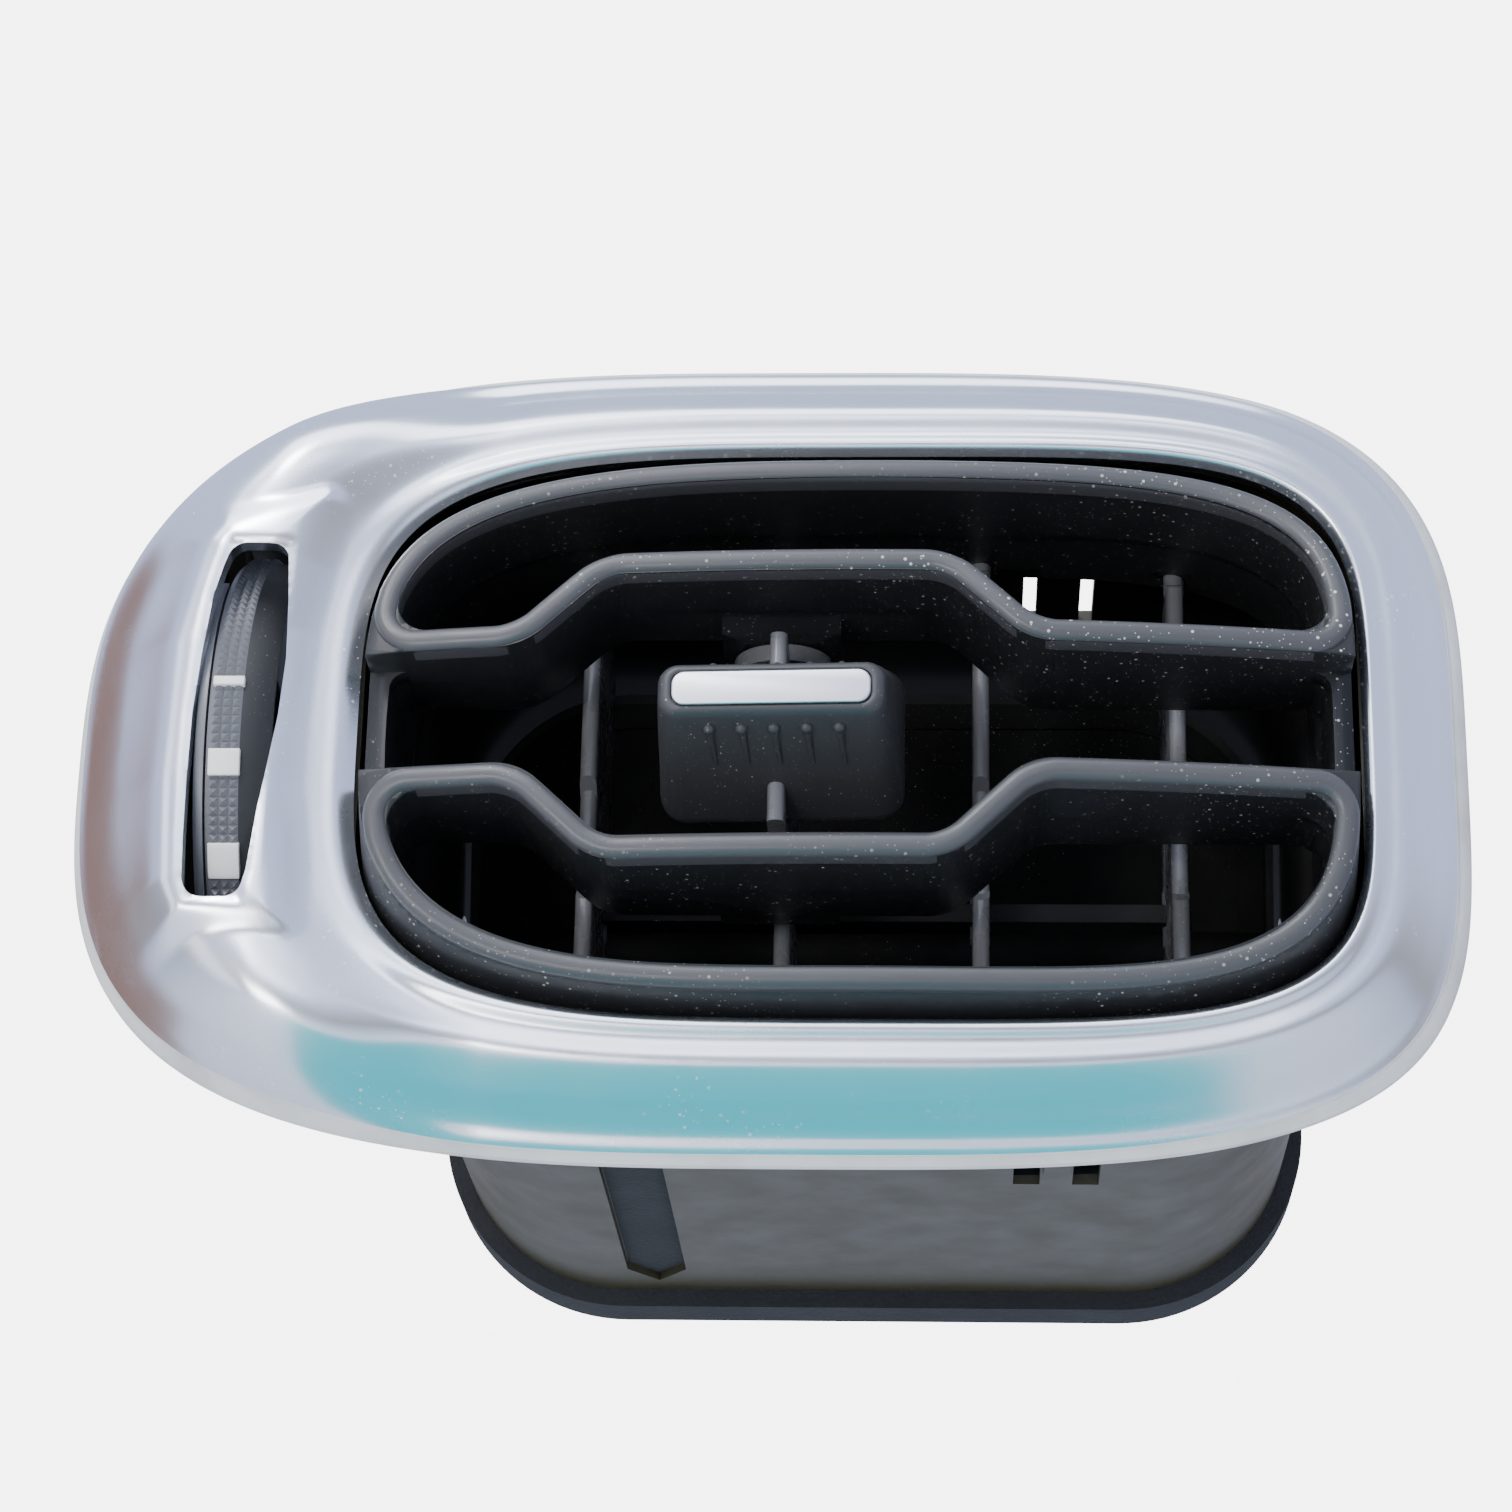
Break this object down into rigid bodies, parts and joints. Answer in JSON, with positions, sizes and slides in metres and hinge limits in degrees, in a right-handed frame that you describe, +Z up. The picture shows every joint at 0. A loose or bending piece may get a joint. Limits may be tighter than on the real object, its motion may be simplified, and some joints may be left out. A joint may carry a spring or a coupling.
{
  "type": "dashboard air vent",
  "caption": "Dashboard air vent with a swept satin bezel, a tilting barrel grille with two S-shaped vanes, a turning knob, a thumbwheel at the side and a rectangular duct with a shut-off damper",
  "frame": {"origin": "centre of the duct on the rear face of the mounting flange", "axes": "+Z up as mounted in the dashboard, -Y the face turned to the cabin, +Y along the duct, +X to the right seen from the front"},
  "size_m": [0.1719, 0.1364, 0.1046],
  "materials": {
    "bezel": "satin",
    "housing": "matte",
    "bezel_screws": "satin",
    "mouth_seal": "matte",
    "grille": "satin",
    "knob_body": "matte",
    "knob_strip": "satin",
    "upright_vane_1": "satin",
    "upright_vane_2": "satin",
    "upright_vane_3": "satin",
    "upright_vane_4": "satin",
    "vane_link": "satin",
    "thumbwheel": "matte",
    "wheel_grip": "matte",
    "wheel_marks": "satin",
    "wheel_axle": "satin",
    "wheel_bracket": "matte",
    "damper_rod": "satin",
    "damper_crank": "satin",
    "damper_flap": "matte",
    "damper_seal": "matte",
    "grille_bush_left": "satin",
    "grille_bush_right": "satin",
    "damper_bush_left": "satin",
    "damper_bush_right": "satin"
  },
  "bodies": {
    "housing": {"bezel": "bezel", "housing": "housing", "bezel_screws": "bezel_screws", "mouth_seal": "mouth_seal", "wheel_bracket": "wheel_bracket", "wheel_axle": "wheel_axle", "grille_bush_left": "grille_bush_left", "grille_bush_right": "grille_bush_right", "damper_bush_left": "damper_bush_left", "damper_bush_right": "damper_bush_right"},
    "grille": {"grille": "grille"},
    "knob": {"knob_body": "knob_body", "knob_strip": "knob_strip", "upright_vane_2": "upright_vane_2"},
    "vane_1": {"upright_vane_1": "upright_vane_1"},
    "vane_3": {"upright_vane_3": "upright_vane_3"},
    "vane_4": {"upright_vane_4": "upright_vane_4"},
    "vane_link": {"vane_link": "vane_link"},
    "thumbwheel": {"thumbwheel": "thumbwheel", "wheel_grip": "wheel_grip", "wheel_marks": "wheel_marks"},
    "damper_rod": {"damper_rod": "damper_rod"},
    "damper": {"damper_flap": "damper_flap", "damper_crank": "damper_crank", "damper_seal": "damper_seal"}
  },
  "joints": [
    {"name": "grille_tilt", "type": "hinge", "parent": "housing", "child": "grille", "pos_m": [0, -0.0051, 0], "axis": [1, 0, 0], "range_deg": [-12, 12]},
    {"name": "knob_turn", "type": "hinge", "parent": "grille", "child": "knob", "pos_m": [-0.0096, -0.0051, 0], "axis": [0, 0, 1], "range_deg": [-25, 25]},
    {"name": "vane_1_turn", "type": "hinge", "parent": "grille", "child": "vane_1", "pos_m": [-0.0342, 0.004, 0], "axis": [0, 0, 1], "range_deg": [-25, 25]},
    {"name": "vane_3_turn", "type": "hinge", "parent": "grille", "child": "vane_3", "pos_m": [0.015, 0.004, 0], "axis": [0, 0, 1], "range_deg": [-25, 25]},
    {"name": "vane_4_turn", "type": "hinge", "parent": "grille", "child": "vane_4", "pos_m": [0.0396, 0.004, 0], "axis": [0, 0, 1], "range_deg": [-25, 25]},
    {"name": "link_pivot", "type": "hinge", "parent": "vane_1", "child": "vane_link", "pos_m": [-0.0342, 0.021, -0.01], "axis": [0, 0, 1], "range_deg": [-25, 25]},
    {"name": "wheel_turn", "type": "hinge", "parent": "housing", "child": "thumbwheel", "pos_m": [-0.0745, 0.0085, 0], "axis": [1, 0, 0], "range_deg": [0, 78]},
    {"name": "rod_pivot", "type": "hinge", "parent": "thumbwheel", "child": "damper_rod", "pos_m": [-0.0671, 0.01605, 0.00933], "axis": [1, 0, 0], "range_deg": [-78, 0]},
    {"name": "damper_turn", "type": "hinge", "parent": "housing", "child": "damper", "pos_m": [0, 0.0645, 0], "axis": [1, 0, 0], "range_deg": [0, 78]}
  ],
  "couplings": [
    {"joint": "vane_1_turn", "follows": "knob_turn", "ratio": 1},
    {"joint": "vane_3_turn", "follows": "knob_turn", "ratio": 1},
    {"joint": "vane_4_turn", "follows": "knob_turn", "ratio": 1},
    {"joint": "link_pivot", "follows": "knob_turn", "ratio": -1},
    {"joint": "rod_pivot", "follows": "wheel_turn", "ratio": -1},
    {"joint": "damper_turn", "follows": "wheel_turn", "ratio": 1}
  ]
}
